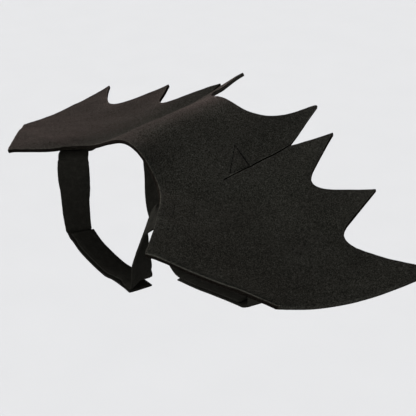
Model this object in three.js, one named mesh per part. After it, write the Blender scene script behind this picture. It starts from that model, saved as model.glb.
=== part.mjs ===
// Bat wings for a small pet: one felt sheet saddled over the back, two strap loops.
// Millimetres, +Z up, neck edge toward -Y, wings along X, flat pattern mirrored about X = 0.
import * as THREE from 'three';

// ---------------------------------------------------------------- dimensions
const FELT = 3.0;            // felt thickness
const FELT_UP = 0.6;         // share of the felt above the drawn surface
const STRAP_W = 25.0;        // webbing width
const STRAP_T = 1.8;         // webbing thickness
const GAP = 0.4;             // air between parts that lie on one another
const PITCH = 9.37 * Math.PI / 180;   // rise of the back toward the rear
const REST_V = 45.0;         // where on the back line the part rests
const ROWS = 12;             // mesh rows from the neck edge to the rear edge
const SLIT_ROW = 6;          // row where each slit ends
const SLIT = 0.8;            // width of each slit
const STEP = 0.4;            // how far the outer panel sits below the flap at the slit
const STEP_RAMP = 19.0;      // length over which it goes down
const STEP_FADE = 26.0;      // sideways reach of that
const DIP = { depth: 5.86, u: 66.5, w: 20.25, v0: 45, v1: 115 };   // strap pull at the slit
// uneven set of the worn cloth: centre u, reach, rise, and the v where it starts to fade and is gone
const SET = [[-15.6, 20, -3.7, 4, 34], [31, 18, 3.1, 4, 34], [-38.3, 14.9, 1.1, 4, 34], [-88, 19, -2.7, 0, 36]];

// arch across the back: crest radius, flank angle, flank length, return radius, wing angle
const ARCH = {
  front: { angle: 34.28, crest: 40.0, flank: 6.27, back: 78.6, wing: 9.94 },
  rear: { angle: 23.33, crest: 48.2, flank: 53.7, back: 221.6, wing: 9.42 },
  reach: 90,
};

// flat pattern of one half (u out from the back line, v toward the rear)
const P = {
  F: [0, 2.0], A: [115.9, -43.8], K: [199.4, 0.6], B: [229.4, 103.1],
  N1: [166.4, 72.7], C: [146.0, 122.2], N2: [112.0, 86.8], D: [78.8, 136.2],
  S: [66.5, 106.3], E: [49.5, 143.5], R: [0, 89.0],
};
const NECK = { out: 57.9, inU: -67.3, inV: 60.2 };      // handles of the neck cut-out
const REAR = { outU: -7.9, outV: 4.1, in: 57.4 };       // handles of the rear edge
const NOTCH = { r1: 20.0, r2: 16.7, sag1: -3.5, sag2: 0.3, bow: 6.0 };

// ---------------------------------------------------------------- small helpers
const lerp = (a, b, t) => a + (b - a) * t;
const mix = (p, q, t) => [lerp(p[0], q[0], t), lerp(p[1], q[1], t)];
const step = (a, b, x) => { const t = Math.min(1, Math.max(0, (x - a) / (b - a))); return t * t * (3 - 2 * t); };
const cubic = (a, b, c, d) => (t) => {
  const s = 1 - t, k = [s * s * s, 3 * t * s * s, 3 * t * t * s, t * t * t];
  return [0, 1].map((i) => k[0] * a[i] + k[1] * b[i] + k[2] * c[i] + k[3] * d[i]);
};
const bowed = (a, b, sag) => {
  const dx = b[0] - a[0], dy = b[1] - a[1], l = Math.hypot(dx, dy);
  const c = [(a[0] + b[0]) / 2 - dy / l * sag * 2, (a[1] + b[1]) / 2 + dx / l * sag * 2];
  return (t) => { const s = 1 - t; return [0, 1].map((i) => s * s * a[i] + 2 * s * t * c[i] + t * t * b[i]); };
};

// ---------------------------------------------------------------- bent sheet
function across(s, v) {
  const t = Math.min(1.7, Math.max(-0.6, v / ARCH.reach)), f = ARCH.front, r = ARCH.rear, rad = Math.PI / 180;
  const al = lerp(f.angle, r.angle, t) * rad, be = lerp(f.wing, r.wing, t) * rad;
  const R1 = lerp(f.crest, r.crest, t), L = Math.max(0, lerp(f.flank, r.flank, t));
  const R2 = Math.max(15, lerp(f.back, r.back, t));
  const s1 = R1 * al, s2 = s1 + L, s3 = s2 + R2 * (al - be);
  if (s < s1) return [R1 * Math.sin(s / R1), -R1 * (1 - Math.cos(s / R1))];
  let x = R1 * Math.sin(al), z = -R1 * (1 - Math.cos(al));
  const l = Math.min(s, s2) - s1; x += l * Math.cos(al); z -= l * Math.sin(al);
  if (s <= s2) return [x, z];
  const th = al - (Math.min(s, s3) - s2) / R2;
  x += R2 * (Math.sin(al) - Math.sin(th)); z -= R2 * (Math.cos(th) - Math.cos(al));
  if (s <= s3) return [x, z];
  return [x + (s - s3) * Math.cos(be), z - (s - s3) * Math.sin(be)];
}
const REST = [0, REST_V * Math.cos(PITCH), REST_V * Math.sin(PITCH) + FELT_UP - FELT];
function drawn(u, v) {                              // the drawn surface
  const s = Math.abs(u), [x, z] = across(s, v);
  let dip = DIP.depth * Math.exp(-(((s - DIP.u) / DIP.w) ** 2)) * step(DIP.v0, DIP.v1, v);
  for (const [cu, reach, rise, v0, v1] of SET) dip -= rise * Math.exp(-(((u - cu) / reach) ** 2)) * (1 - step(v0, v1, v));
  return new THREE.Vector3(Math.sign(u) * x, v * Math.cos(PITCH) - REST[1], z - dip + v * Math.sin(PITCH) - REST[2]);
}
function normal(u, v) {
  const h = 0.5, a = drawn(u + h, v).sub(drawn(u - h, v)), b = drawn(u, v + h).sub(drawn(u, v - h));
  return a.cross(b).normalize();
}

// ---------------------------------------------------------------- outline of one half
function scallop(pin, corner, r, pout, sag) {       // spike, rounded notch, next spike
  const run = bowed(corner, pout, sag), e = run(0.02);
  const d1 = [pin[0] - corner[0], pin[1] - corner[1]], l1 = Math.hypot(...d1);
  const d2 = [e[0] - corner[0], e[1] - corner[1]], l2 = Math.hypot(...d2);
  const ang = Math.acos((d1[0] * d2[0] + d1[1] * d2[1]) / (l1 * l2));
  const tl = Math.min(r / Math.tan(ang / 2), 0.8 * l1);
  const a = mix(corner, pin, tl / l1), tb = tl / Math.hypot(pout[0] - corner[0], pout[1] - corner[1]), b = run(tb);
  return {
    side: (t) => mix(pin, a, t),
    round: (t) => { const s = 1 - t; return [0, 1].map((i) => s * s * a[i] + 2 * s * t * corner[i] + t * t * b[i]); },
    run: (t) => run(lerp(tb, 1, t)),
  };
}
const neck = cubic(P.F, [NECK.out, P.F[1]], [P.A[0] + NECK.inU, P.A[1] + NECK.inV], P.A);
const rear = cubic(P.R, [REAR.in, P.R[1]], [P.E[0] + REAR.outU, P.E[1] + REAR.outV], P.E);
const tip = bowed(P.K, P.B, -NOTCH.bow);
const inner = scallop(P.D, P.N2, NOTCH.r2, P.C, NOTCH.sag2);
const outer = scallop(P.C, P.N1, NOTCH.r1, P.B, NOTCH.sag1);
const at = (f, a, b) => (t) => f(lerp(a, b, t));
const SPANS = [
  { n: 10, back: rear, front: at(neck, 0, 0.50) },
  { n: 3, back: (t) => mix(P.E, P.S, t), front: at(neck, 0.50, 0.743) },
  { n: 3, back: (t) => mix(P.S, P.D, t), front: at(neck, 0.743, 0.86) },
  { n: 2, back: inner.side, front: at(neck, 0.86, 0.93) },
  { n: 4, back: inner.round, front: at(neck, 0.93, 1) },
  { n: 3, back: inner.run, front: (t) => mix(P.A, P.K, 0.42 * t) },
  { n: 2, back: outer.side, front: (t) => mix(P.A, P.K, lerp(0.42, 0.62, t)) },
  { n: 4, back: outer.round, front: (t) => mix(P.A, P.K, lerp(0.62, 1, t)) },
  { n: 7, back: at(outer.run, 0, 0.985), front: at(tip, 0, 0.985) },
];
function columns() {
  const out = [{ front: P.F, back: P.R, slit: false }];
  for (const s of SPANS) for (let i = 1; i <= s.n; i++) {
    const back = s.back(i / s.n);
    out.push({ front: s.front(i / s.n), back, slit: Math.hypot(back[0] - P.S[0], back[1] - P.S[1]) < 1e-6 });
  }
  return out;
}

// ---------------------------------------------------------------- wing sheet
function wingSheet() {
  const cols = columns(), cs = cols.findIndex((c) => c.slit), line = cols[cs];
  const root = mix(line.front, line.back, SLIT_ROW / ROWS);
  const slitU = (v) => lerp(line.front[0], line.back[0], (v - line.front[1]) / (line.back[1] - line.front[1]));
  const tops = [], lows = [], ids = new Map();
  const vertex = (c, r, sgn, panel) => {
    const split = cols[c].slit && r > SLIT_ROW;
    const key = `${c * (c ? sgn : 1)}/${r}/${split && panel ? 1 : 0}`;
    if (ids.has(key)) return ids.get(key);
    let [u, v] = mix(cols[c].front, cols[c].back, r / ROWS);
    if (split) u += panel ? SLIT / 2 : -SLIT / 2;
    const p = drawn(sgn * u, v), n = normal(sgn * u, v);
    const low = p.clone().addScaledVector(n, FELT_UP - FELT);
    p.addScaledVector(n, FELT_UP);
    if (c > cs || (split && panel)) {
      const d = STEP * step(0, STEP_RAMP, v - root[1]) * (1 - step(0, STEP_FADE, u - slitU(v)));
      p.z -= d; low.z -= d;
    }
    tops.push(p); lows.push(low); ids.set(key, tops.length - 1);
    return tops.length - 1;
  };
  const faces = [];
  for (const sgn of [1, -1]) for (let c = 0; c + 1 < cols.length; c++) for (let r = 0; r < ROWS; r++) {
    const a = vertex(c, r, sgn, true), b = vertex(c + 1, r, sgn, false);
    const d = vertex(c + 1, r + 1, sgn, false), e = vertex(c, r + 1, sgn, true);
    if (sgn > 0) faces.push([a, b, d], [a, d, e]); else faces.push([a, d, b], [a, e, d]);
  }
  return plate(tops, lows, faces);
}
function plate(tops, lows, faces) {
  const n = tops.length, pos = [...tops, ...lows], idx = [], open = new Map();
  for (const [a, b, c] of faces) {
    idx.push(a, b, c, n + a, n + c, n + b);
    for (const [p, q] of [[a, b], [b, c], [c, a]]) {
      if (open.has(`${q}_${p}`)) open.delete(`${q}_${p}`); else open.set(`${p}_${q}`, [p, q]);
    }
  }
  for (const [p, q] of open.values()) idx.push(q, p, n + p, q, n + p, n + q);
  return geometry(pos, idx);
}
function geometry(points, index) {
  const g = new THREE.BufferGeometry();
  g.setAttribute('position', new THREE.Float32BufferAttribute(points.flatMap((p) => [p.x, p.y, p.z]), 3));
  g.setIndex(index);
  g.computeVertexNormals();
  return g;
}

// ---------------------------------------------------------------- straps
// a sewn station lies under the sheet at u, v with its width along du, dv of the flat pattern;
// a free station is a point x, y, z with a width direction
const FELT_SIDE = FELT - FELT_UP + GAP + STRAP_T / 2;
function sewn(u, v, du, dv, more = 0) {
  const k = Math.sign(u) * 12, w = drawn(u + k * du, v + 12 * dv).sub(drawn(u - k * du, v - 12 * dv)).normalize();
  return { p: drawn(u, v).addScaledVector(normal(u, v), -FELT_SIDE - more), w };
}
const free = ([x, y, z, wx, wy, wz]) => ({
  p: new THREE.Vector3(x, y - REST[1], z - REST[2]), w: new THREE.Vector3(wx, wy, wz).normalize(),
});
function laid(list, lift, shift) {                  // the same run, one layer up and moved along its width
  return list.map((s, i) => {
    const t = list[Math.min(i + 1, list.length - 1)].p.clone().sub(list[Math.max(i - 1, 0)].p).normalize();
    const m = t.cross(s.w).normalize();
    if (m.z < 0) m.negate();
    return { p: s.p.clone().addScaledVector(m, lift).addScaledVector(s.w, shift), w: s.w.clone() };
  });
}
function ribbon(stations, sub = 4) {
  const pts = new THREE.CatmullRomCurve3(stations.map((s) => s.p), false, 'centripetal');
  const n = (stations.length - 1) * sub, rings = [];
  for (let i = 0; i <= n; i++) {
    const k = i / n, j = Math.min(stations.length - 2, Math.floor(i / sub)), f = (i - j * sub) / sub;
    const p = pts.getPoint(k), t = pts.getTangent(k);
    const w = stations[j].w.clone().lerp(stations[j + 1].w, f * f * (3 - 2 * f));
    w.addScaledVector(t, -w.dot(t)).normalize();
    const m = t.clone().cross(w).normalize();
    rings.push([[-1, -1], [1, -1], [1, 1], [-1, 1]].map(([a, b]) =>
      p.clone().addScaledVector(w, a * STRAP_W / 2).addScaledVector(m, b * STRAP_T / 2)));
  }
  const pos = rings.flat(), idx = [];
  for (let i = 0; i < n; i++) for (let q = 0; q < 4; q++) {
    const a = i * 4 + q, b = i * 4 + (q + 1) % 4;
    idx.push(a, b, b + 4, a, b + 4, a + 4);
  }
  const e = n * 4;
  idx.push(0, 2, 1, 0, 3, 2, e, e + 1, e + 2, e, e + 2, e + 3);
  return geometry(pos, idx);
}
const LAYER = STRAP_T + 0.6;

// columns: x, y, z, then the width direction
const CHEST_SEAM = [[94, 11], [88, 3.3], [83, -3.2]];       // u, v of the sewn end
const CHEST_EDGE = [[77.5, -10.3]];                         // where the left strap passes under the neck edge
const CHEST_DOWN = [
  [-70.9, -6.9, -35.6, 0.75, 0.65, 0.06], [-69.2, -8.2, -39.2, 0.58, 0.8, 0.13], [-67.6, -9.4, -48.1, 0.32, 0.93, 0.15],
  [-67.5, -9.2, -60.8, 0.06, 0.99, 0.08], [-67.7, -9.9, -76.8, -0.11, 0.99, -0.02], [-63.7, -11.1, -93.1, -0.22, 0.97, -0.12],
];
const CHEST_LAP = [                                         // the lapped run under the chest
  [-60.9, -11.4, -97.1, -0.37, 0.91, -0.2], [-53.8, -10.2, -101.9, -0.44, 0.88, -0.18], [-47.2, -9.4, -105.3, -0.47, 0.87, -0.15],
  [-22.3, -2.5, -116.5, -0.44, 0.88, -0.16], [-12.8, 0.5, -117.7, -0.33, 0.92, -0.21], [-0.3, 4.2, -120.6, -0.24, 0.95, -0.22],
];
const CHEST_TAB = [[5.7, 5.7, -122.2, -0.15, 0.96, -0.23]];
const CHEST_UP = [                                          // from the fold up to the left wing
  [-2.6, 4.2, -115.8, -0.16, 0.95, -0.25], [3.7, 4.9, -115.4, -0.11, 0.99, -0.05], [8.2, 4.9, -111.8, -0.26, 0.9, 0.34],
  [25.8, -3.2, -82.1, -0.37, 0.78, 0.51], [42.2, -9.4, -61.6, -0.46, 0.67, 0.58], [54.2, -12.5, -48.4, -0.51, 0.65, 0.56],
  [65.8, -14.2, -34.7, -0.55, 0.68, 0.48], [70.1, -12.9, -30.9, -0.65, 0.66, 0.39],
];
const BELLY_SEAM = [[46, 61.5], [55, 61.8], [62.5, 62]];
const BELLY_FAR = [
  [-60.6, 61.8, -22.6, 0, 1, 0], [-61.8, 61.7, -30, 0, 1, 0], [-60.8, 61.5, -44, 0, 1, 0], [-60, 61.6, -60, 0, 1, 0],
  [-60.6, 61.4, -77, 0, 1, 0], [-59.8, 61.6, -91, 0, 1, 0], [-50, 62.6, -112, 0, 1, 0], [-35, 63.8, -129, 0, 1, 0],
  [-22.5, 64.4, -136.6, 0, 1, 0],
];
const BELLY_LAP = [                                         // the lapped run under the belly
  [-12, 64.6, -139.4, 0, 1, 0], [8, 66, -136.8, 0.04, 1, 0], [26, 67.6, -133.6, 0.06, 1, 0], [44, 69.4, -130.7, 0.08, 1, 0],
  [60, 70.4, -128, 0.1, 1, 0],
];
const BELLY_TAB = [[-19.5, 63.6, -140.2, 0, 1, 0]];
const BELLY_NEAR = [
  [69, 70.6, -126.2, 0.1, 1, 0], [75.5, 70.2, -121.6, 0.1, 1, 0], [77.4, 69.4, -113, 0.06, 1, 0], [74.5, 67.6, -90, 0, 1, 0],
  [67.6, 65, -60, 0, 1, 0], [63.4, 63.2, -40, 0, 1, 0], [62.2, 62.2, -30, 0, 1, 0], [60.6, 61.8, -22.6, 0, 1, 0],
];
const seam = (list, side, du, dv, more) => list.map(([u, v]) => sewn(side * u, v, du, dv, more));
const chestLap = CHEST_LAP.map(free), bellyLap = BELLY_LAP.map(free);
const frontFar = [...seam(CHEST_SEAM, -1, -0.79, 0.61, 0.95), ...CHEST_DOWN.map(free), ...chestLap, ...CHEST_TAB.map(free)];
const frontNear = [...laid(chestLap, LAYER + 0.1, 1.1).slice(0, -1), ...CHEST_UP.map(free),
  ...seam(CHEST_EDGE, 1, -0.79, 0.61, 1.2), ...seam(CHEST_SEAM, 1, -0.79, 0.61, 0.7).reverse()];
const rearFar = [...seam(BELLY_SEAM, -1, 0, 1, 0.5), ...BELLY_FAR.map(free), ...laid(bellyLap, LAYER, 0.8)];
const rearNear = [...BELLY_TAB.map(free), ...bellyLap, ...BELLY_NEAR.map(free), ...seam(BELLY_SEAM, 1, 0, 1, 0.5).reverse()];

// ---------------------------------------------------------------- assembly
const FELT_BLACK = { color: 0x24221f, roughness: 0.95, metalness: 0 };
const WEB_BLACK = { color: 0x161513, roughness: 0.85, metalness: 0 };
const part = new THREE.Group();
part.name = 'bat_wings';
for (const [name, geo, look] of [
  ['wing_sheet', wingSheet(), FELT_BLACK],
  ['front_strap_right', ribbon(frontFar), WEB_BLACK],
  ['front_strap_left', ribbon(frontNear), WEB_BLACK],
  ['rear_strap_right', ribbon(rearFar), WEB_BLACK],
  ['rear_strap_left', ribbon(rearNear), WEB_BLACK],
]) {
  const mesh = new THREE.Mesh(geo, new THREE.MeshStandardMaterial(look));
  mesh.name = name;
  part.add(mesh);
}
export default part;
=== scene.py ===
"""Bat wings for a small pet: one felt sheet saddled over the back, chest and belly straps, stitching.

Lengths are in millimetres in the row frame until a mesh is made, which is in metres.
"""

import math

import bpy
import numpy as np
from mathutils import Matrix


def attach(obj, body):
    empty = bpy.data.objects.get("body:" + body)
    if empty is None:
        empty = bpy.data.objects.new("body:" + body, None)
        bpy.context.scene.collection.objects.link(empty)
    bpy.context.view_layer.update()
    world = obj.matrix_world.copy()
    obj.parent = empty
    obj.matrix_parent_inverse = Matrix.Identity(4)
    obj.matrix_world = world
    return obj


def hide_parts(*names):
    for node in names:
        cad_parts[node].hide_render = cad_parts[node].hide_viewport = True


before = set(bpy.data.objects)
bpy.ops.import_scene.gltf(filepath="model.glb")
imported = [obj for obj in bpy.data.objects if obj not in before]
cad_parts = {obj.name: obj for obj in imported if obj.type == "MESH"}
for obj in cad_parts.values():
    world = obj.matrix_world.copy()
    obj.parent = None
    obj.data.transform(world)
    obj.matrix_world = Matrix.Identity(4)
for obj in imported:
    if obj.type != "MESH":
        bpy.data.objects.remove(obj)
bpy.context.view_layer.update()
MM = 0.001

# ---------------------------------------------------------------- dimensions, as in the CAD source
FELT, FELT_UP = 3.0, 0.6
STRAP_W, STRAP_T, GAP = 25.0, 1.8, 0.4
PITCH, REST_V = math.radians(9.37), 45.0
SLIT, STEP, STEP_RAMP, STEP_FADE = 0.8, 0.4, 19.0, 26.0
DIP = dict(depth=5.86, u=66.5, w=20.25, v0=45.0, v1=115.0)
# uneven set of the worn cloth: centre u, reach, rise, and the v where it starts to fade and is gone
SET = [(-15.6, 20, -3.7, 4, 34), (31, 18, 3.1, 4, 34), (-38.3, 14.9, 1.1, 4, 34), (-88, 19, -2.7, 0, 36)]
ARCH_FRONT = dict(angle=34.28, crest=40.0, flank=6.27, back=78.6, wing=9.94)
ARCH_REAR = dict(angle=23.33, crest=48.2, flank=53.7, back=221.6, wing=9.42)
ARCH_REACH = 90.0
P = {
    "F": (0, 2.0), "A": (115.9, -43.8), "K": (199.4, 0.6), "B": (229.4, 103.1), "N1": (166.4, 72.7), "C": (146.0, 122.2),
    "N2": (112.0, 86.8), "D": (78.8, 136.2), "S": (66.5, 106.3), "E": (49.5, 143.5), "R": (0, 89.0),
}
P = {k: np.array(v, float) for k, v in P.items()}
NECK = dict(out=57.9, in_u=-67.3, in_v=60.2)
REAR = dict(out_u=-7.9, out_v=4.1, inn=57.4)
NOTCH = dict(r1=20.0, r2=16.7, sag1=-3.5, sag2=0.3, bow=6.0)
REST = np.array([0, REST_V * math.cos(PITCH), REST_V * math.sin(PITCH) + FELT_UP - FELT])

COLS, ROWS = 5, 100             # mesh columns per CAD column, and mesh rows
SLIT_ROW = ROWS // 2 - 2
ROUND = 0.36                    # how far in from the cut the felt's edge begins to round
SLIT_ROUND = 0.28               # the same at the slits
SLANT = 1.1                     # how far the neck's cut slants on the left flank

rng = np.random.default_rng(11)


# ---------------------------------------------------------------- bent sheet
def lerp(a, b, t):
    return a + (b - a) * t


def smooth(a, b, x):
    t = np.clip((x - a) / (b - a), 0, 1)
    return t * t * (3 - 2 * t)


def unit(a):
    return a / np.maximum(np.linalg.norm(a, axis=-1, keepdims=True), 1e-12)


def across(s, v):
    """The arch across the back at v: sideways and height at arc length s from the back line."""
    t = np.clip(v / ARCH_REACH, -0.6, 1.7)
    k = {key: lerp(ARCH_FRONT[key], ARCH_REAR[key], t) for key in ARCH_FRONT}
    al, be = np.radians(k["angle"]), np.radians(k["wing"])
    r1, flank, r2 = k["crest"], np.maximum(0, k["flank"]), np.maximum(15, k["back"])
    s1 = r1 * al
    s2 = s1 + flank
    s3 = s2 + r2 * (al - be)
    a = np.minimum(s, s1) / r1
    x, z = r1 * np.sin(a), -r1 * (1 - np.cos(a))
    run = np.clip(s, s1, s2) - s1
    x, z = x + run * np.cos(al), z - run * np.sin(al)
    th = al - (np.clip(s, s2, s3) - s2) / r2
    x, z = x + r2 * (np.sin(al) - np.sin(th)), z - r2 * (np.cos(th) - np.cos(al))
    out = np.maximum(s, s3) - s3
    return x + out * np.cos(be), z - out * np.sin(be)


def drawn(u, v):
    """The drawn surface at a point of the flat pattern."""
    u, v = np.broadcast_arrays(np.asarray(u, float), np.asarray(v, float))
    s = np.abs(u)
    x, z = across(s, v)
    dip = DIP["depth"] * np.exp(-(((s - DIP["u"]) / DIP["w"]) ** 2)) * smooth(DIP["v0"], DIP["v1"], v)
    for cu, reach, rise, v0, v1 in SET:
        dip = dip - rise * np.exp(-(((u - cu) / reach) ** 2)) * (1 - smooth(v0, v1, v))
    return np.stack([np.sign(u) * x, v * math.cos(PITCH) - REST[1], z - dip + v * math.sin(PITCH) - REST[2]], -1)


def normal(u, v, h=0.5):
    u, v = np.asarray(u, float), np.asarray(v, float)
    return unit(np.cross(drawn(u + h, v) - drawn(u - h, v), drawn(u, v + h) - drawn(u, v - h)))


# ---------------------------------------------------------------- outline of one half
def cubic(a, b, c, d):
    a, b, c, d = (np.array(p, float) for p in (a, b, c, d))
    return lambda t: (1 - t) ** 3 * a + 3 * t * (1 - t) ** 2 * b + 3 * t * t * (1 - t) * c + t ** 3 * d


def bowed(a, b, sag):
    d = b - a
    c = (a + b) / 2 + np.array([-d[1], d[0]]) / np.hypot(*d) * sag * 2
    return lambda t: (1 - t) ** 2 * a + 2 * t * (1 - t) * c + t * t * b


def scallop(pin, corner, r, pout, sag):
    """Spike, rounded notch, next spike."""
    run = bowed(corner, pout, sag)
    d1, d2 = pin - corner, run(0.02) - corner
    l1, l2 = np.hypot(*d1), np.hypot(*d2)
    ang = math.acos(float(d1 @ d2) / (l1 * l2))
    tl = min(r / math.tan(ang / 2), 0.8 * l1)
    a, tb = lerp(corner, pin, tl / l1), tl / np.hypot(*(pout - corner))
    b = run(tb)
    return (
        lambda t: lerp(pin, a, t),
        lambda t: (1 - t) ** 2 * a + 2 * t * (1 - t) * corner + t * t * b,
        lambda t: run(lerp(tb, 1, t)),
    )


neck = cubic(P["F"], (NECK["out"], P["F"][1]), P["A"] + (NECK["in_u"], NECK["in_v"]), P["A"])
rear = cubic(P["R"], (REAR["inn"], P["R"][1]), P["E"] + (REAR["out_u"], REAR["out_v"]), P["E"])
tip = bowed(P["K"], P["B"], -NOTCH["bow"])
in_side, in_round, in_run = scallop(P["D"], P["N2"], NOTCH["r2"], P["C"], NOTCH["sag2"])
out_side, out_round, out_run = scallop(P["C"], P["N1"], NOTCH["r1"], P["B"], NOTCH["sag1"])
# mesh columns, rear chain, front chain
SPANS = [
    (10, rear, lambda t: neck(0.5 * t)),
    (3, lambda t: lerp(P["E"], P["S"], t), lambda t: neck(lerp(0.5, 0.743, t))),
    (3, lambda t: lerp(P["S"], P["D"], t), lambda t: neck(lerp(0.743, 0.86, t))),
    (2, in_side, lambda t: neck(lerp(0.86, 0.93, t))),
    (4, in_round, lambda t: neck(lerp(0.93, 1, t))),
    (3, in_run, lambda t: lerp(P["A"], P["K"], 0.42 * t)),
    (2, out_side, lambda t: lerp(P["A"], P["K"], lerp(0.42, 0.62, t))),
    (4, out_round, lambda t: lerp(P["A"], P["K"], lerp(0.62, 1, t))),
    (7, lambda t: out_run(0.985 * t), lambda t: tip(0.985 * t)),
]


def columns():
    front, back, slit = [P["F"]], [P["R"]], 0
    for i, (n, b, f) in enumerate(SPANS):
        for j in range(1, n * COLS + 1):
            front.append(f(j / (n * COLS)))
            back.append(b(j / (n * COLS)))
        if i == 1:
            slit = len(back) - 1
    return np.array(front), np.array(back), slit


def outward(line):
    """Unit vectors to the right of a line of flat points, averaged at each point."""
    d = unit(np.diff(line, axis=0))
    right = np.stack([d[:, 1], -d[:, 0]], 1)
    out = np.zeros_like(line)
    out[:-1] += right
    out[1:] += right
    return unit(out)


# ---------------------------------------------------------------- stitch lines on the flat pattern (one half)
def box_lines(origin, along, wide, a0, a1, w):
    """A sewn box with its cross, as line ends on the flat pattern."""
    at = lambda a, b: origin + along * a + wide * b
    c = [at(a0, -w), at(a1, -w), at(a1, w), at(a0, w)]
    return [(c[0], c[1]), (c[1], c[2]), (c[2], c[3]), (c[3], c[0]), (c[0], c[2]), (c[1], c[3])]


REAR_BOX = box_lines(np.array([46.0, 61.9]), np.array([1.0, 0.0]), np.array([0.0, 1.0]), 2.0, 23.0, 8.4)
# how deep each line is pulled into the felt, at its start and its end
REAR_DEEP = ((0.12, 0.12), (0.40, 0.36), (0.95, 0.30), (0.16, 0.16), (0.12, 0.12), (0.46, 0.30))
CHEST_DIR = unit(np.array([83.0 - 94.0, -3.2 - 11.0]))
CHEST_BOX = box_lines(np.array([94.0, 11.0]), CHEST_DIR, np.array([-0.79, 0.61]), 2.5, 17.0, 9.0)
CHEST_DEEP = ((0.16, 0.24), (0.26, 0.24), (0.2, 0.16), (0.3, 0.22), (0.14, 0.14), (0.14, 0.14))


def dent(p, line, deep, reach):
    """Depth of the dent that a stitch line makes at points of the flat pattern."""
    a, b = line
    d = b - a
    t = np.clip(((p - a) @ d) / (d @ d), 0, 1)
    return lerp(deep[0], deep[1], t) * np.exp(-((np.linalg.norm(p - a - t[..., None] * d, axis=-1) / reach) ** 2))


def relief(u, v):
    """Gentle unevenness of the felt's face, and the dents under the stitching, in millimetres."""
    h = np.zeros_like(u)
    waves = np.random.default_rng(5)
    for size, amount, count in ((52, 0.16, 5), (21, 0.07, 6), (8.5, 0.035, 8)):
        for _ in range(count):
            a, p = waves.uniform(0, 2 * math.pi, 2)
            k = 2 * math.pi / (size * waves.uniform(0.75, 1.3))
            h += amount / math.sqrt(count) * 1.4 * np.sin(k * (u * math.cos(a) + v * math.sin(a)) + p)
    flat = np.stack([np.abs(u), v], -1)
    for lines, deeps in ((REAR_BOX, REAR_DEEP), (CHEST_BOX, CHEST_DEEP)):
        for reach, share in ((1.2, 0.9), (3.6, 0.5)):
            h -= share * np.max([dent(flat, line, deep, reach) for line, deep in zip(lines, deeps)], axis=0)
    return h


def worn(u, v, panel):
    """The uneven set of the worn cloth, as a shift from the drawn surface, in millimetres."""
    hill = lambda cu, ru, cv, rv: np.exp(-(((u - cu) / ru) ** 2) - ((v - cv) / rv) ** 2)
    flap = (1 - panel) * smooth(15, 40, -u)
    corner = smooth(92, 118, -u) * (1 - smooth(-38, -6, v))
    z = smooth(70, 135, -u) * 0.012 * (v - 14) + 1.9 * hill(128, 24, -38, 18) + 0.9 * hill(190, 22, 2, 16) + 0.7 * hill(222, 14, 75, 25)
    z = z + flap * ((-0.2 + 0.06 * (-u - 40)) * smooth(104, 130, v) - 0.9 * (1 - smooth(48, 62, -u)) * np.exp(-(((v - 112) / 9) ** 2)))
    z = z + panel * np.exp(-(((u - 78) / 14) ** 2)) * smooth(100, 122, v) - 0.4 * corner
    slope = np.exp(-((np.maximum(u + 16, 0) / 15) ** 2)) * (1 - 0.6 * smooth(48, 88, -u)) * (1 - smooth(138, 172, -u))
    z = z - 2.3 * slope * smooth(5, 48, v) * (1 - smooth(88, 110, v) * (1 - panel))
    return np.stack([-5 * flap * smooth(112, 143, v) - 2 * corner, -1.2 * corner, z], -1)


# ---------------------------------------------------------------- meshes
def make_mesh(name, points, faces, uv=None, values=None):
    me = bpy.data.meshes.new(name)
    me.from_pydata([tuple(p) for p in np.asarray(points) * MM], [], faces)
    if uv is not None:
        layer = me.uv_layers.new(name="flat")
        index = np.empty(len(me.loops), np.int32)
        me.loops.foreach_get("vertex_index", index)
        layer.uv.foreach_set("vector", (np.asarray(uv)[index] * MM).astype(np.float32).ravel())
    for key, data in (values or {}).items():
        me.attributes.new(key, "FLOAT", "POINT").data.foreach_set("value", np.asarray(data, np.float32))
    me.polygons.foreach_set("use_smooth", np.ones(len(me.polygons), bool))
    me.update()
    ob = bpy.data.objects.new(name, me)
    bpy.context.scene.collection.objects.link(ob)
    return ob


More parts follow.
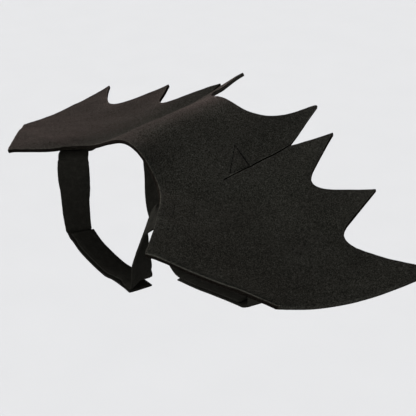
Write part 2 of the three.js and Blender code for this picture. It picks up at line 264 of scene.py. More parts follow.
def wing_felt():
    front, back, cs = columns()
    n = len(front)
    length = np.linalg.norm(back - front, axis=1)
    inset = np.minimum(ROUND, 0.3 * length)[:, None]
    o_front, o_back = outward(front), outward(back[::-1])[::-1]
    o_front[0], o_back[0] = (0, -1), (0, 1)
    f_in, b_in = front - o_front * inset, back - o_back * inset
    tip_dir = unit((front[-1] + back[-1]) / 2 - (front[-2] + back[-2]) / 2)
    line_f, line_b = front[cs], back[cs]
    root_v = lerp(line_f, line_b, SLIT_ROW / ROWS)[1]
    es, sd = unit(P["S"] - P["E"]), unit(P["D"] - P["S"])
    in_flap, in_panel = np.array([es[1], -es[0]]) * ROUND, np.array([-sd[1], sd[0]]) * -ROUND

    def slit_u(v):
        return lerp(line_f[0], line_b[0], (v - line_f[1]) / (line_b[1] - line_f[1]))

    rows = []                                            # u, v, cut u, cut v, panel, slant of the cut, row from the front

    def slant(u):
        return SLANT * smooth(-25, 5, u) * (1 - smooth(52, 80, u))

    def add(p, cut, panel, sgn, lean=0.0, step=99):
        rows.append((sgn * p[0], p[1], sgn * cut[0], cut[1], panel, lean, step))
        return len(rows) - 1

    quads, shared = [], None
    for sgn in (1, -1):
        left, right = np.zeros((n, ROWS + 1), int), np.zeros((n, ROWS + 1), int)
        for c in range(n):
            if c == 0 and shared is not None:
                left[0], right[0] = shared
                continue
            for r in range(ROWS + 1):
                t = r / ROWS
                lean = float(slant(sgn * front[c][0]))
                p, cut = lerp(f_in[c] - o_front[c] * lean, b_in[c], t), lerp(front[c], back[c], t)
                if c == n - 1:
                    p = p - tip_dir * 0.3
                elif 0 < r < ROWS:
                    cut = p
                if c == cs and r > SLIT_ROW:
                    k = min(1.0, (r - SLIT_ROW) / 1.6) * lerp(1.2, 0.8, (r - SLIT_ROW) / (ROWS - SLIT_ROW))
                    base = lerp(front[c] - o_front[c] * inset[c], back[c], t)
                    last = r == ROWS
                    pf = back[c] + in_flap if last else base - np.array([(SLIT / 2 + SLIT_ROUND) * k, 0])
                    pp = back[c] + in_panel if last else base + np.array([(SLIT / 2 + SLIT_ROUND) * k, 0])
                    half = np.array([SLIT / 2 * k, 0])
                    right[c, r] = add(pf, base - half, 0, sgn)
                    left[c, r] = add(pp, base + half, 1, sgn)
                else:
                    left[c, r] = right[c, r] = add(p, cut, 1 if c > cs else 0, sgn, lean if r == 0 else 0.0, r)
        shared = (left[0], right[0]) if shared is None else shared
        for c in range(n - 1):
            for r in range(ROWS):
                q = (left[c, r], right[c + 1, r], right[c + 1, r + 1], left[c, r + 1])
                quads.append(q if sgn > 0 else q[::-1])
    flat = np.array(rows)
    count = len(flat)

    def lowered(u, v, panel):
        s = np.abs(u)
        return panel * STEP * smooth(0, STEP_RAMP, v - root_v) * (1 - smooth(0, STEP_FADE, s - slit_u(v)))

    def place(u, v, h, panel):
        p = drawn(u, v) + normal(u, v) * np.asarray(h)[..., None]
        p += worn(u, v, panel)
        p[..., 2] -= lowered(u, v, panel)
        return p

    u, v, cu, cv, panel, lean, step = flat.T
    bump = relief(u, v)
    tops = place(u, v, FELT_UP + bump, panel)
    lows = place(u, v, np.full(count, FELT_UP - FELT) + 0.25 * bump.clip(-0.2, 0.2), panel)
    points, uvs = [tops, lows], [np.stack([u, v], 1)] * 2
    marks = {key: [np.zeros(count), np.zeros(count)] for key in ("cut", "rim", "deep")}
    # painted light and shade: the base colour ('wing') is darker out on the wings and over the crest, and the sheen
    # ('laid') is painted stronger out on the right wing, along its rear edge, on the right flap and along the crest,
    # and weaker in a painted shadow behind the ridge on the right wing and across the left wing
    crest = np.maximum(np.exp(-(((u + 13) / 19) ** 2)), np.exp(-(((u - 6) / 28) ** 2) - ((v - 2) / 24) ** 2))
    painted_sheen = 1.25 * np.exp(-(((np.minimum(u, -80) + 80) / 20) ** 2)) * smooth(40, 60, -u) * (1 - smooth(98, 112, v) * (1 - panel)) - 0.3 * smooth(80, 130, -u) - 1.1 * np.exp(-(ROWS - np.minimum(step, ROWS)) / 9) * smooth(95, 125, -u) + 1.5 * smooth(40, 82, u) - (0.6 + 1.4 * smooth(45, 80, v)) * crest
    painted_sheen = painted_sheen - 1.5 * (1 - panel) * smooth(26, 42, -u) * smooth(98, 112, v)
    marks["wing"], marks["laid"] = [np.minimum(smooth(55, 110, -u) + 0.5 * smooth(55, 110, u) + 0.25 * smooth(110, 160, u) + 0.8 * crest, 1)] * 2, [painted_sheen] * 2
    faces = list(quads) + [tuple(count + i for i in q[::-1]) for q in quads]
    # the cut edge, as rings from the top face round to the underside
    half = {}
    for q in quads:
        for a, b in zip(q, q[1:] + q[:1]):
            half[(a, b)] = True
    nxt = {a: b for a, b in half if (b, a) not in half}
    loop = [next(iter(nxt))]
    while nxt[loop[-1]] != loop[0]:
        loop.append(nxt[loop[-1]])
    loop = np.array(loop)
    m = len(loop)
    cut_flat = np.stack([cu[loop], cv[loop]], 1)
    lower = np.stack([np.abs(cu[loop]), cv[loop]], 1) - P["A"]
    along = unit(P["K"] - P["A"])
    lower = (np.abs(lower @ np.array([-along[1], along[0]])) < 1.2) & (lower @ along > 1)
    # painted highlight along the top of the cut edge, strongest on the left wing's lower edge
    marks["rim"][0][loop] = np.where(lower, 0.9, 0.12)
    # a painted shadow line, with no crease in the shape, runs inside the left wing's lower edge
    painted_shadow_line = smooth(118, 150, u) * (1 - smooth(196, 220, u)) * (v < 20)
    marks["deep"][0] = painted_shadow_line * np.where(step == 1, 0.5, np.where(step == 2, 0.2, 0))
    in_flat = np.stack([u[loop], v[loop]], 1)
    away = unit(cut_flat - in_flat)
    near_root = np.linalg.norm(cut_flat - in_flat, axis=1) / ROUND
    slanted = lean[loop] / (lean[loop] + ROUND)
    in_slit = (np.abs(np.abs(cut_flat[:, 0]) - slit_u(cut_flat[:, 1])) < SLIT) & (cut_flat[:, 1] > root_v - 1) & (cut_flat[:, 1] < P["S"][1] - 0.6)

    far_flap = (cut_flat[:, 0] < -15) & (cut_flat[:, 1] > 92) & (panel[loop] < 0.5)
    tail = (step[loop] == 0) & (np.abs(cut_flat[:, 0]) > P["K"][0] + 0.5)

    def ragged(width, amount):
        """Even random unevenness along the loop."""
        k = np.exp(-0.5 * (np.arange(-12, 13) / width) ** 2)
        x = np.convolve(np.tile(rng.normal(size=m), 3), k / np.sqrt((k * k).sum()), "same")[m : 2 * m]
        return x * amount * np.clip(near_root, 0, 1)

    cutting = ragged(5, 0.07)
    top_h, low_h = FELT_UP + bump[loop], FELT_UP - FELT + 0.25 * bump[loop].clip(-0.2, 0.2)
    ring_ids = [loop]
    # share of the rounding left on a square and on a slanted cut, how far down the edge, how much darkening of the cut
    # face (partly painted shade) and how much painted highlight on the rim are laid on there
    for square, leaning, d, cut, rim in (
        (0.5, 0.86, 0.03, 0, 1), (0.12, 0.74, 0.09, 0.9, 0.1), (0.0, 0.52, 0.22, 1, 0),
        (0.0, 0.16, 0.6, 1, 0), (0.1, 0.04, 0.87, 1, 0), (0.45, 0.3, 0.97, 0.7, 0.2),
    ):
        w = lerp(square, leaning, slanted)[:, None]
        out = cutting + ragged(1.2, 0.05) - 0.1 * lean[loop]
        at = cut_flat * (1 - w) + in_flat * w + away * out[:, None]
        h = lerp(top_h, low_h, d)
        first = sum(len(x) for x in points)
        points.append(place(at[:, 0], at[:, 1], h, panel[loop]))
        uvs.append(at)
        # painted light and shade on the cut edge: the cut face is darkened; the right flap's edge, the tail's edge and
        # the slits' lip on the flap side get a painted highlight; the slit walls below their top get painted shade
        marks["cut"].append(np.where(in_slit, 0, np.where(far_flap | tail, 0.1, np.where(lower & (d < 0.15), 0.2, cut))))
        marks["rim"].append(np.where(in_slit, (0.8 - 0.7 * panel[loop]) * rim, np.where(lower & (d < 0.15), max(1.3 * rim, 0.8), np.where(tail, 0.42, rim))))
        marks["deep"].append(in_slit * smooth(0.03, 0.16, d))
        for key in ("wing", "laid"):
            marks[key].append(marks[key][0][loop])
        ring_ids.append(np.arange(first, first + m))
    ring_ids.append(loop + count)
    for a, b in zip(ring_ids, ring_ids[1:]):
        for i in range(m):
            j = (i + 1) % m
            faces.append((int(a[j]), int(a[i]), int(b[i]), int(b[j])))
    ob = make_mesh(
        "wing_felt", np.concatenate(points), [tuple(int(i) for i in f) for f in faces],
        np.concatenate(uvs), {key: np.concatenate(data) for key, data in marks.items()},
    )
    return ob, place


# ---------------------------------------------------------------- straps
FELT_SIDE = FELT - FELT_UP + GAP + STRAP_T / 2
LAYER = STRAP_T + 0.6


def seat(u, v):
    return drawn(u, v) + worn(u, v, 0.0)


def sewn(u, v, du, dv, more=0.0):
    k = math.copysign(12, u)
    w = unit(seat(u + k * du, v + 12 * dv) - seat(u - k * du, v - 12 * dv))
    return seat(u, v) - normal(u, v) * (FELT_SIDE + more), w


def free(row):
    return np.array(row[:3], float) - REST, unit(np.array(row[3:], float))


def laid(stations, lift, shift):
    out = []
    for i, (p, w) in enumerate(stations):
        t = unit(stations[min(i + 1, len(stations) - 1)][0] - stations[max(i - 1, 0)][0])
        m = unit(np.cross(t, w))
        m = -m if m[2] < 0 else m
        out.append((p + m * lift + w * shift, w))
    return out


def seam(rows, side, du, dv, more):
    return [sewn(side * u, v, du, dv, more) for u, v in rows]


CHEST_SEAM = [(94, 11), (88, 3.3), (83, -3.2)]
CHEST_EDGE = [(77.5, -10.3)]                             # where the left strap passes under the neck edge
CHEST_DOWN = [
    (-70.9, -6.9, -35.6, 0.75, 0.65, 0.06), (-69.2, -8.2, -39.2, 0.58, 0.8, 0.13), (-67.6, -9.4, -48.1, 0.32, 0.93, 0.15),
    (-67.5, -9.2, -60.8, 0.06, 0.99, 0.08), (-67.7, -9.9, -76.8, -0.11, 0.99, -0.02), (-63.7, -11.1, -93.1, -0.22, 0.97, -0.12),
]
CHEST_LAP = [
    (-60.9, -11.4, -97.1, -0.37, 0.91, -0.2), (-53.8, -10.2, -101.9, -0.44, 0.88, -0.18), (-47.2, -9.4, -105.3, -0.47, 0.87, -0.15),
    (-22.3, -2.5, -116.5, -0.44, 0.88, -0.16), (-12.8, 0.5, -117.7, -0.33, 0.92, -0.21), (-0.3, 4.2, -120.6, -0.24, 0.95, -0.22),
]
CHEST_TAB = [(5.7, 5.7, -122.2, -0.15, 0.96, -0.23)]
CHEST_UP = [
    (-2.6, 4.2, -115.8, -0.16, 0.95, -0.25), (3.7, 4.9, -115.4, -0.11, 0.99, -0.05), (8.2, 4.9, -111.8, -0.26, 0.9, 0.34),
    (25.8, -3.2, -82.1, -0.37, 0.78, 0.51), (42.2, -9.4, -61.6, -0.46, 0.67, 0.58), (54.2, -12.5, -48.4, -0.51, 0.65, 0.56),
    (65.8, -14.2, -34.7, -0.55, 0.68, 0.48), (70.1, -12.9, -30.9, -0.65, 0.66, 0.39),
]
BELLY_SEAM = [(46, 61.5), (55, 61.8), (62.5, 62)]
BELLY_FAR = [
    (-60.6, 61.8, -24.5, 0, 1, 0), (-61.8, 61.7, -30, 0, 1, 0), (-60.8, 61.5, -44, 0, 1, 0), (-60, 61.6, -60, 0, 1, 0),
    (-60.6, 61.4, -77, 0, 1, 0), (-59.8, 61.6, -91, 0, 1, 0), (-50, 62.6, -112, 0, 1, 0), (-35, 63.8, -129, 0, 1, 0),
    (-22.5, 64.4, -136.6, 0, 1, 0),
]
BELLY_LAP = [
    (-12, 64.6, -139.4, 0, 1, 0), (8, 66, -136.8, 0.04, 1, 0), (26, 67.6, -133.6, 0.06, 1, 0), (44, 69.4, -130.7, 0.08, 1, 0),
    (60, 70.4, -128, 0.1, 1, 0),
]
BELLY_TAB = [(-19.5, 63.6, -140.2, 0, 1, 0)]
BELLY_NEAR = [
    (69, 70.6, -126.2, 0.1, 1, 0), (75.5, 70.2, -121.6, 0.1, 1, 0), (77.4, 69.4, -113, 0.06, 1, 0), (74.5, 67.6, -90, 0, 1, 0),
    (67.6, 65, -60, 0, 1, 0), (63.4, 63.2, -40, 0, 1, 0), (62.2, 62.2, -30, 0, 1, 0), (60.6, 61.8, -22.6, 0, 1, 0),
]
chest_lap, belly_lap = [free(r) for r in CHEST_LAP], [free(r) for r in BELLY_LAP]
frees = lambda rows: [free(r) for r in rows]
STRAPS = {
    "front_strap_right": seam(CHEST_SEAM, -1, -0.79, 0.61, 0.95) + frees(CHEST_DOWN) + chest_lap + frees(CHEST_TAB),
    "front_strap_left": laid(chest_lap, LAYER + 0.1, 1.1)[:-1] + frees(CHEST_UP)
    + seam(CHEST_EDGE, 1, -0.79, 0.61, 1.2) + seam(CHEST_SEAM, 1, -0.79, 0.61, 0.7)[::-1],
    "rear_strap_right": seam(BELLY_SEAM, -1, 0, 1, 0.5) + frees(BELLY_FAR) + laid(belly_lap, LAYER, 0.8),
    "rear_strap_left": frees(BELLY_TAB) + belly_lap + frees(BELLY_NEAR) + seam(BELLY_SEAM, 1, 0, 1, 0.5)[::-1],
}


def path_at(points, k):
    """Point and direction on a centripetal Catmull-Rom curve, k from 0 to 1."""
    n = len(points)
    i = min(int(k * (n - 1)), n - 2)
    f = k * (n - 1) - i
    p1, p2 = points[i], points[i + 1]
    p0 = points[i - 1] if i else 2 * p1 - p2
    p3 = points[i + 2] if i + 2 < n else 2 * p2 - p1
    d0, d1, d2 = (max(float((a - b) @ (a - b)) ** 0.25, 1e-4) for a, b in ((p0, p1), (p1, p2), (p2, p3)))
    t1 = ((p1 - p0) / d0 - (p2 - p0) / (d0 + d1) + (p2 - p1) / d1) * d1
    t2 = ((p2 - p1) / d1 - (p3 - p1) / (d1 + d2) + (p3 - p2) / d2) * d1
    c2, c3 = -3 * p1 + 3 * p2 - 2 * t1 - t2, 2 * p1 - 2 * p2 + t1 + t2
    return p1 + t1 * f + c2 * f * f + c3 * f ** 3, unit(t1 + 2 * c2 * f + 3 * c3 * f * f), i, f


def strap_section():
    """Across the webbing: distance from its middle and half thickness, top face then underside, with a thin selvedge."""
    a = np.array([-11.95, -11.2, -10.7, -10.2, -8, -6, -4, -2, 0, 2, 4, 6, 8, 10.2, 10.7, 11.2, 11.95])
    b = np.where(np.abs(a) > 10.9, 0.66, np.where(np.abs(a) > 10.5, 0.74, 0.9))
    side = np.array([(12.3, 0.55), (12.5, 0.2), (12.5, -0.2), (12.3, -0.55)])
    return np.concatenate([np.stack([a, b], 1), side, np.stack([a[::-1], -b[::-1]], 1), -side])


# painted light and shade: each strap's colour is scaled by its share here, standing in for how much light falls on it
PAINTED_STRAP_LIGHT = {"front_strap_right": 0.58, "front_strap_left": 0.72, "rear_strap_right": 0.8, "rear_strap_left": 0.8}


def strap(name, sub=14):
    stations = STRAPS[name]
    pts = [p for p, _ in stations]
    n = (len(stations) - 1) * sub
    sec = strap_section()
    m = len(sec)
    local = np.random.default_rng(sum(map(ord, name)))
    smooth_noise = lambda w, amount: np.convolve(local.normal(size=n + 41), np.ones(w) / math.sqrt(w), "same")[20 : 21 + n] * amount
    ragged = [smooth_noise(9, 0.05), smooth_noise(9, 0.05)]
    wave = smooth_noise(15, 0.035)
    rings, uvs, side, last, s = [], [], [], None, 0.0
    for i in range(n + 1):
        p, t, j, f = path_at(pts, i / n)
        w = lerp(stations[j][1], stations[j + 1][1], f * f * (3 - 2 * f))
        w = unit(w - t * (w @ t))
        up = unit(np.cross(t, w))
        s += 0.0 if last is None else float(np.linalg.norm(p - last))
        last = p
        a = sec[:, 0] + np.where(sec[:, 0] > 11, ragged[0][i], 0) + np.where(sec[:, 0] < -11, ragged[1][i], 0)
        b = sec[:, 1] + wave[i] * np.sin(sec[:, 0] * 0.35 + s * 0.11)
        rings.append(p + w * a[:, None] + up * b[:, None])
        uvs.append(np.stack([np.full(m, s), sec[:, 0]], 1))
        side.append(np.sign(sec[:, 1]))
    faces = [(i * m + q, i * m + (q + 1) % m, (i + 1) * m + (q + 1) % m, (i + 1) * m + q) for i in range(n) for q in range(m)]
    faces = [f[::-1] for f in faces]
    faces += [tuple(range(m)), tuple(n * m + q for q in reversed(range(m)))]
    ob = make_mesh(name + "_web", np.concatenate(rings), faces, np.concatenate(uvs), {"side": np.concatenate(side), "painted_light": np.full(sum(map(len, side)), PAINTED_STRAP_LIGHT[name])})
    return ob, s


# ---------------------------------------------------------------- stitching
def thread(name, runs):
    """One mesh of sewn stitches. Each run is (start, end, up, radius) with points already in place."""
    points, faces = [], []
    ring = np.array([(math.cos(a), math.sin(a)) for a in np.arange(6) * math.pi / 3])
    for a, b, up, radius in runs:
        d = b - a
        path = [a - up * 0.45 + d * 0.02, a + up * 0.08 + d * 0.08, (a + b) / 2 + up * 0.2, b + up * 0.08 - d * 0.08, b - up * 0.45 - d * 0.02]
        side = unit(np.cross(up, d))
        first = len(points)
        for i, p in enumerate(path):
            t = unit(path[min(i + 1, 4)] - path[max(i - 1, 0)])
            o = np.cross(side, t)
            r = radius if 0 < i < 4 else radius * 0.7
            points += [p + (side * x + o * y) * r for x, y in ring]
        for i in range(4):
            faces += [(first + i * 6 + q, first + i * 6 + (q + 1) % 6, first + i * 6 + 6 + (q + 1) % 6, first + i * 6 + 6 + q) for q in range(6)]
        faces += [tuple(first + q for q in reversed(range(6))), tuple(first + 24 + q for q in range(6))]
    return make_mesh(name, np.array(points), faces)


def sewn_runs(lines, deeps, side, under, place):
    """Stitches along the lines on the top of the felt, and below on the webbing. A shallow line is sunk in the nap."""
    runs = []
    for (a, b), (deep0, deep1) in zip(lines, deeps):
        n = max(2, int(round(np.linalg.norm(b - a) / 2.7)))
        for i in range(n):
            deep = lerp(deep0, deep1, (i + 0.5) / n)
            sunk = lerp(0.34, -0.2, smooth(0.1, 0.8, deep))
            size = lerp(0.25, 0.4, smooth(0.1, 0.8, deep))
            p, q = lerp(a, b, (i + 0.08) / n), lerp(a, b, (i + 0.92) / n)
            uv = np.array([p, q]) * (side, 1)
            up = unit(normal(uv[:, 0], uv[:, 1]).mean(0))
            top = place(uv[:, 0], uv[:, 1], FELT_UP - sunk + relief(uv[:, 0], uv[:, 1]), np.zeros(2))
            runs.append((top[0], top[1], up, size))
            low = seat(uv[:, 0], uv[:, 1]) - normal(uv[:, 0], uv[:, 1]) * under
            runs.append((low[0], low[1], -up, 0.28))
    return runs


# ---------------------------------------------------------------- materials
def nodes_of(name):
    mat = bpy.data.materials.new(name)
    mat.use_nodes = True
    t = mat.node_tree
    bsdf = t.nodes["Principled BSDF"]
    return mat, t, bsdf


def node(t, kind, **sets):
    n = t.nodes.new(kind)
    for k, v in sets.items():
        if k.startswith("in_"):
            n.inputs[int(k[3:]) if k[3:].isdigit() else k[3:].replace("_", " ")].default_value = v
        else:
            setattr(n, k, v)
    return n


def noise(t, coord, scale, detail=2.0, rough=0.5):
    n = node(t, "ShaderNodeTexNoise", in_Scale=scale, in_Detail=detail, in_Roughness=rough)
    t.links.new(coord, n.inputs["Vector"])
    return n.outputs["Fac"]


def math_node(t, op, a, b=None, c=None, clamp=False):
    n = node(t, "ShaderNodeMath", operation=op, use_clamp=clamp)
    for i, x in enumerate((a, b, c)):
        if x is None:
            continue
        if isinstance(x, (int, float)):
            n.inputs[i].default_value = x
        else:
            t.links.new(x, n.inputs[i])
    return n.outputs[0]


def ramp(t, fac, stops):
    n = node(t, "ShaderNodeValToRGB")
    e = n.color_ramp.elements
    while len(e) < len(stops):
        e.new(0.5)
    for el, (pos, col) in zip(e, stops):
        el.position, el.color = pos, (*col, 1) if len(col) == 3 else col
    t.links.new(fac, n.inputs["Fac"])
    return n.outputs["Color"]


def stretched(t, coord, angle, along, wide):
    m = node(t, "ShaderNodeMapping")
    m.inputs["Rotation"].default_value = (0.25, 0.15, angle)
    m.inputs["Scale"].default_value = (along, wide, wide)
    t.links.new(coord, m.inputs["Vector"])
    return m.outputs["Vector"]


def felt_material():
    mat, t, bsdf = nodes_of("black_needle_felt")
    where = node(t, "ShaderNodeTexCoord").outputs["Object"]
    grain = noise(t, where, 1320, 1.2, 0.55)
    clump = noise(t, where, 420, 2, 0.5)
    broad = noise(t, where, 26, 2, 0.5)
    hairs = None
    for angle in (0.2, 1.25, 2.3):
        n = noise(t, stretched(t, where, angle, 420, 2300), 1.0, 1.0, 0.5)
        hairs = n if hairs is None else math_node(t, "MAXIMUM", hairs, n)
    mixed = math_node(t, "ADD", math_node(t, "MULTIPLY_ADD", grain, 0.49, 0.005), math_node(t, "MULTIPLY", clump, 0.12))
    mixed = math_node(t, "ADD", mixed, math_node(t, "MULTIPLY", broad, 0.08))
    mixed = math_node(t, "ADD", mixed, math_node(t, "MULTIPLY_ADD", hairs, 0.22, 0.072))
    cut, rim, deep = (node(t, "ShaderNodeAttribute", attribute_name=key).outputs["Fac"] for key in ("cut", "rim", "deep"))
    wing, laid = (node(t, "ShaderNodeAttribute", attribute_name=key).outputs["Fac"] for key in ("wing", "laid"))
    # painted highlight: the rim mark lightens the colour along the top of the cut edge
    mixed = math_node(t, "ADD", mixed, math_node(t, "MULTIPLY", rim, 0.14))
    colour = ramp(t, mixed, [
        (0.44, (0.0023, 0.00235, 0.0020)), (0.535, (0.0069, 0.0070, 0.0059)),
        (0.62, (0.0158, 0.0158, 0.0135)), (0.74, (0.0365, 0.0365, 0.0315)),
    ])
    # painted shade: the colour and the sheen are darkened down inside the narrow slits, along the painted shadow line
    # inside the left wing's lower edge, and on the cut faces, there partly for their flat fibre ends
    shade = lambda x, amount: math_node(t, "SUBTRACT", 1.0, math_node(t, "MULTIPLY", x, amount))
    open_to_light = math_node(t, "MULTIPLY", shade(deep, 0.88), shade(cut, 0.62))
    # painted reflected light: a warm tint on the cut faces
    ends = node(t, "ShaderNodeMix", data_type="RGBA", blend_type="MULTIPLY")
    ends.inputs[7].default_value = (1.13, 0.97, 0.92, 1)
    t.links.new(cut, ends.inputs[0])
    t.links.new(colour, ends.inputs[6])
    # painted shade: the base colour is dimmed out on the wings and over the crest
    dim = node(t, "ShaderNodeMix", data_type="RGBA")
    dim.inputs[6].default_value = (0.0, 0.0, 0.0, 1)
    t.links.new(math_node(t, "MULTIPLY", open_to_light, shade(wing, 0.35)), dim.inputs[0])
    t.links.new(ends.outputs[2], dim.inputs[7])
    t.links.new(dim.outputs[2], bsdf.inputs["Base Color"])
    t.links.new(math_node(t, "ADD", math_node(t, "MULTIPLY", grain, 0.2), 0.8, clamp=True), bsdf.inputs["Roughness"])
    height = math_node(t, "ADD", math_node(t, "MULTIPLY", grain, 0.6), math_node(t, "MULTIPLY", hairs, 0.6))
    bump = node(t, "ShaderNodeBump", in_Strength=0.4, in_Distance=0.0005)
    t.links.new(height, bump.inputs["Height"])
    t.links.new(bump.outputs["Normal"], bsdf.inputs["Normal"])
    bsdf.inputs["Specular IOR Level"].default_value = 0.0
    # painted sheen: stronger along the crest, the right wing's rear edge and the right flap, weaker in the painted
    # shadow behind the ridge and on the left wing; the grain breaks it into fibres
    lit = math_node(t, "MULTIPLY", shade(laid, 0.45), math_node(t, "MAXIMUM", math_node(t, "MULTIPLY_ADD", grain, 4.2, -1.1), 0.1))
    # painted sheen on the cut edge: less on the cut faces, more on the painted highlight along the rim
    painted_edge_sheen = math_node(t, "MULTIPLY", shade(cut, 0.7), math_node(t, "ADD", math_node(t, "MULTIPLY", rim, 1.2), 1.0))
    t.links.new(math_node(t, "MULTIPLY", math_node(t, "MULTIPLY", open_to_light, math_node(t, "MULTIPLY", painted_edge_sheen, lit)), 0.0272), bsdf.inputs["Sheen Weight"])
    bsdf.inputs["Sheen Roughness"].default_value = 0.45
    bsdf.inputs["Sheen Tint"].default_value = (1.0, 0.73, 0.67, 1)
    return mat


def web_material():
    mat, t, bsdf = nodes_of("black_loop_tape")
    uv = node(t, "ShaderNodeUVMap", uv_map="flat").outputs["UV"]
    sep = node(t, "ShaderNodeSeparateXYZ")
    t.links.new(uv, sep.inputs[0])
    where = node(t, "ShaderNodeTexCoord").outputs["Object"]
    pile = noise(t, where, 1500, 2, 0.6)
    clump = noise(t, where, 240, 2, 0.5)
    # plain weave of the backing and the selvedge: ribs along and across
    wave = lambda x, per: math_node(t, "SINE", math_node(t, "MULTIPLY", x, 2 * math.pi / (per * MM)))
    weft, warp = wave(sep.outputs["X"], 0.62), wave(sep.outputs["Y"], 0.8)
    weave = math_node(t, "MULTIPLY", weft, warp)
    weave = math_node(t, "ADD", math_node(t, "MULTIPLY", weave, 0.5), 0.5)
    middle = math_node(t, "LESS_THAN", math_node(t, "ABSOLUTE", sep.outputs["Y"]), 10.8 * MM)
    outer = math_node(t, "GREATER_THAN", node(t, "ShaderNodeAttribute", attribute_name="side").outputs["Fac"], 0.0)
    loops = math_node(t, "MULTIPLY", middle, outer)
    tone = node(t, "ShaderNodeMix", data_type="FLOAT")
    t.links.new(loops, tone.inputs[0])
    t.links.new(weave, tone.inputs[2])
    t.links.new(pile, tone.inputs[3])
    fac = math_node(t, "ADD", math_node(t, "MULTIPLY", tone.outputs[0], 0.7), math_node(t, "MULTIPLY", clump, 0.3))
    colour = ramp(t, fac, [(0.25, (0.0040, 0.0039, 0.0032)), (0.5, (0.0098, 0.0095, 0.0080)), (0.78, (0.0205, 0.0198, 0.0170))])
    # painted light and shade: scales each strap's colour by its share
    painted_light_mix = node(t, "ShaderNodeMix", data_type="RGBA")
    painted_light_mix.inputs[6].default_value = (0.0, 0.0, 0.0, 1)
    t.links.new(node(t, "ShaderNodeAttribute", attribute_name="painted_light").outputs["Fac"], painted_light_mix.inputs[0])
    t.links.new(colour, painted_light_mix.inputs[7])
    t.links.new(painted_light_mix.outputs[2], bsdf.inputs["Base Color"])
    t.links.new(math_node(t, "ADD", math_node(t, "MULTIPLY", tone.outputs[0], 0.25), 0.6, clamp=True), bsdf.inputs["Roughness"])
    bump = node(t, "ShaderNodeBump", in_Strength=0.5, in_Distance=0.00035)
    t.links.new(tone.outputs[0], bump.inputs["Height"])
    t.links.new(bump.outputs["Normal"], bsdf.inputs["Normal"])
    bsdf.inputs["Specular IOR Level"].default_value = 0.0
    bsdf.inputs["Sheen Weight"].default_value = 0.002
    bsdf.inputs["Sheen Roughness"].default_value = 0.4
    return mat


def thread_material():
    mat, t, bsdf = nodes_of("black_sewing_thread")
    where = node(t, "ShaderNodeTexCoord").outputs["Object"]
    ply = noise(t, where, 2600, 1, 0.5)
    t.links.new(ramp(t, ply, [(0.3, (0.0008, 0.0008, 0.0008)), (0.7, (0.0026, 0.0025, 0.0024))]), bsdf.inputs["Base Color"])
    t.links.new(math_node(t, "ADD", math_node(t, "MULTIPLY", ply, 0.2), 0.7, clamp=True), bsdf.inputs["Roughness"])
    bsdf.inputs["Specular IOR Level"].default_value = 0.0
    return mat


# ---------------------------------------------------------------- pieces
FELT_MAT, WEB_MAT, THREAD_MAT = felt_material(), web_material(), thread_material()
felt, place = wing_felt()
felt.data.materials.append(FELT_MAT)
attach(felt, "root")
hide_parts("wing_sheet")

for side, word in ((1, "left"), (-1, "right")):
    for lines, deeps, drop, where in ((REAR_BOX, REAR_DEEP, 0.5, "rear"), (CHEST_BOX, CHEST_DEEP, 0.7 if side > 0 else 0.95, "front")):
        ob = thread(f"{where}_stitching_{word}", sewn_runs(lines, deeps, side, FELT_SIDE + drop + STRAP_T / 2, place))
        ob.data.materials.append(THREAD_MAT)
        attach(ob, "root")

for name in STRAPS:
    ob, length = strap(name)
    ob.data.materials.append(WEB_MAT)
    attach(ob, "root")
    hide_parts(name)

# ---------------------------------------------------------------- stage, light, camera
FLOOR_Z = -2.4
bpy.ops.mesh.primitive_plane_add(size=60, location=(0, 0, FLOOR_Z))
floor = bpy.context.object
floor.name = "floor"
fmat, ft, fb = nodes_of("pale_floor")
fwhere = node(ft, "ShaderNodeTexCoord").outputs["Object"]
ft.links.new(ramp(ft, noise(ft, fwhere, 3, 2, 0.5), [(0.3, (0.395, 0.3965, 0.404)), (0.7, (0.401, 0.4025, 0.410))]), fb.inputs["Base Color"])
fb.inputs["Roughness"].default_value = 0.9
fb.inputs["Specular IOR Level"].default_value = 0.0
floor.data.materials.append(fmat)

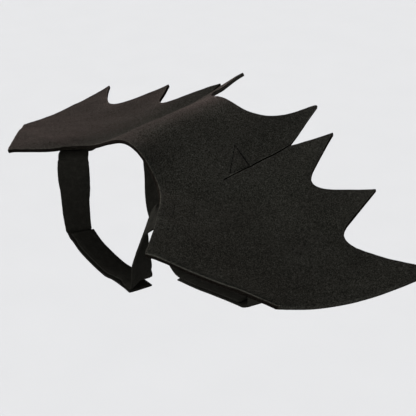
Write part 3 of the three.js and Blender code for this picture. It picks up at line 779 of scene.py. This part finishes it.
world = bpy.data.worlds.new("studio")
bpy.context.scene.world = world
world.use_nodes = True
wt = world.node_tree
sky = wt.nodes["Background"]
sky.inputs["Color"].default_value = (1, 1, 1, 1)
height = node(wt, "ShaderNodeSeparateXYZ")
wt.links.new(node(wt, "ShaderNodeTexCoord").outputs["Generated"], height.inputs[0])
overhead = math_node(wt, "POWER", math_node(wt, "MAXIMUM", height.outputs["Z"], 0.0), 2.0)
wt.links.new(math_node(wt, "ADD", math_node(wt, "MULTIPLY", overhead, 0.525), 0.425), sky.inputs["Strength"])


def sun(name, toward, energy, angle, colour=(1, 1, 1)):
    lamp = bpy.data.lights.new(name, "SUN")
    lamp.energy, lamp.angle, lamp.color = energy, math.radians(angle), colour
    ob = bpy.data.objects.new(name, lamp)
    z = unit(np.array(toward, float))
    x = unit(np.cross((0, 0, 1), z))
    y = np.cross(z, x)
    ob.matrix_world = Matrix(((x[0], y[0], z[0], 0), (x[1], y[1], z[1], 0), (x[2], y[2], z[2], 3), (0, 0, 0, 1)))
    bpy.context.scene.collection.objects.link(ob)
    return ob


sun("key", (-0.85, -0.35, 0.38), 2.79 * math.pi, 40)
sun("side", (0.80, -0.50, 0.20), 1.19 * math.pi, 40)

AZ, EL, ROLL, DIST = 1.025956, 0.438799, -0.035007, 734.915
SHIFT = (-63.3384, 48.9935)
SCALE = 0.72                     # millimetres per picture point at the back line
PICTURE = 416
back_dir = np.array([math.sin(AZ) * math.cos(EL), -math.cos(AZ) * math.cos(EL), math.sin(EL)])
right0 = np.array([math.cos(AZ), math.sin(AZ), 0])
up0 = np.cross(back_dir, right0)
right = math.cos(ROLL) * right0 + math.sin(ROLL) * up0
up = -math.sin(ROLL) * right0 + math.cos(ROLL) * up0
eye = (-SHIFT[0] * right - SHIFT[1] * up + DIST * back_dir - REST) * MM
cam_data = bpy.data.cameras.new("camera")
cam_data.sensor_width = 36
cam_data.lens = 36 * (DIST / SCALE) / PICTURE
cam_data.clip_start, cam_data.clip_end = 0.02, 200
cam = bpy.data.objects.new("camera", cam_data)
cam.matrix_world = Matrix([[right[i], up[i], back_dir[i], eye[i]] for i in range(3)] + [[0, 0, 0, 1]])
bpy.context.scene.collection.objects.link(cam)
bpy.context.scene.camera = cam
bpy.context.scene.view_settings.view_transform = "Standard"
bpy.context.scene.view_settings.look = "None"
